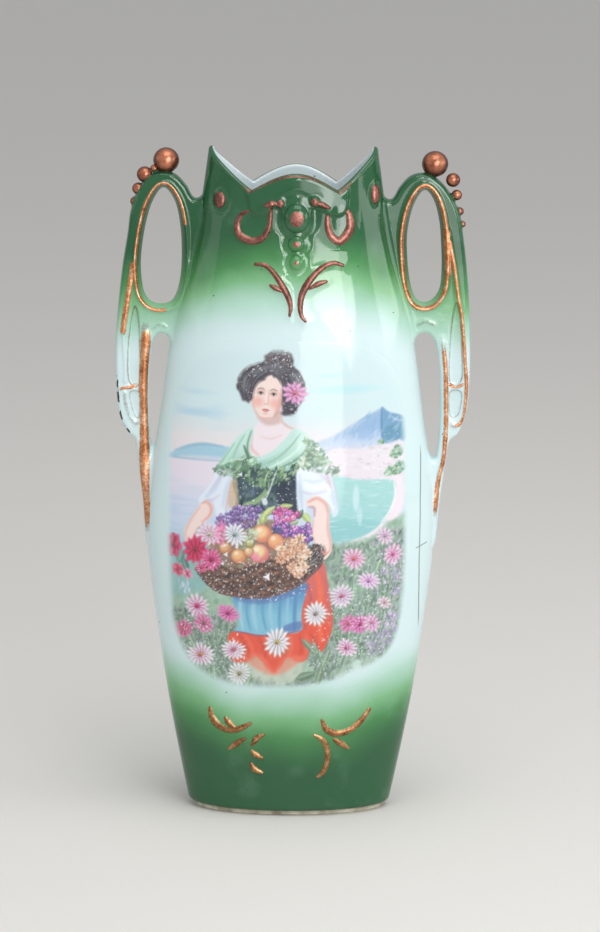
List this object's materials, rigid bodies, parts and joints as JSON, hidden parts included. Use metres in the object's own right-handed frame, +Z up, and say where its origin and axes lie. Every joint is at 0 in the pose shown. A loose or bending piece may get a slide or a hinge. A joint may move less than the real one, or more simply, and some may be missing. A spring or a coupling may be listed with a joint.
{
  "type": "two-handled porcelain vase",
  "caption": "Tall flattened-oval porcelain vase with a crown rim, pierced side handles with gilded beads, relief scrolls and a printed picture of a flower seller.",
  "frame": {"origin": "middle of the underside of the foot ring", "axes": "+Z up, -Y towards the viewer of the printed front, +X to that viewer's right"},
  "size_m": [0.1898, 0.0776, 0.36],
  "materials": {
    "pale_glaze": "gloss",
    "green_glaze": "gloss",
    "bisque": "unglazed",
    "printed_picture": "gloss print under glaze",
    "worn_gilding": "worn copper-gold lustre"
  },
  "bodies": {
    "root": {"vase_body": "pale_glaze", "foot_ring": "bisque", "left_handle": "green_glaze", "right_handle": "green_glaze", "picture_transfer": "printed_picture", "left_bead_1": "worn_gilding", "left_bead_2": "worn_gilding", "left_bead_3": "worn_gilding", "left_bead_4": "worn_gilding", "left_bead_5": "worn_gilding", "right_bead_1": "worn_gilding", "right_bead_2": "worn_gilding", "right_bead_3": "worn_gilding", "right_bead_4": "worn_gilding", "right_bead_5": "worn_gilding", "front_crest_boss": "worn_gilding", "front_crest_drops": "worn_gilding", "front_crest_side_bosses": "worn_gilding", "front_crest_scrolls": "worn_gilding", "front_leaf_scrolls": "worn_gilding", "front_base_scroll_left": "worn_gilding", "front_base_scroll_right": "worn_gilding", "front_ear_boss_left": "worn_gilding", "front_ear_boss_right": "worn_gilding", "back_crest_boss": "worn_gilding", "back_crest_drops": "worn_gilding", "back_crest_side_bosses": "worn_gilding", "back_crest_scrolls": "worn_gilding", "back_leaf_scrolls": "worn_gilding", "back_base_scroll_left": "worn_gilding", "back_base_scroll_right": "worn_gilding", "back_ear_boss_left": "worn_gilding", "back_ear_boss_right": "worn_gilding"}
  },
  "joints": []
}
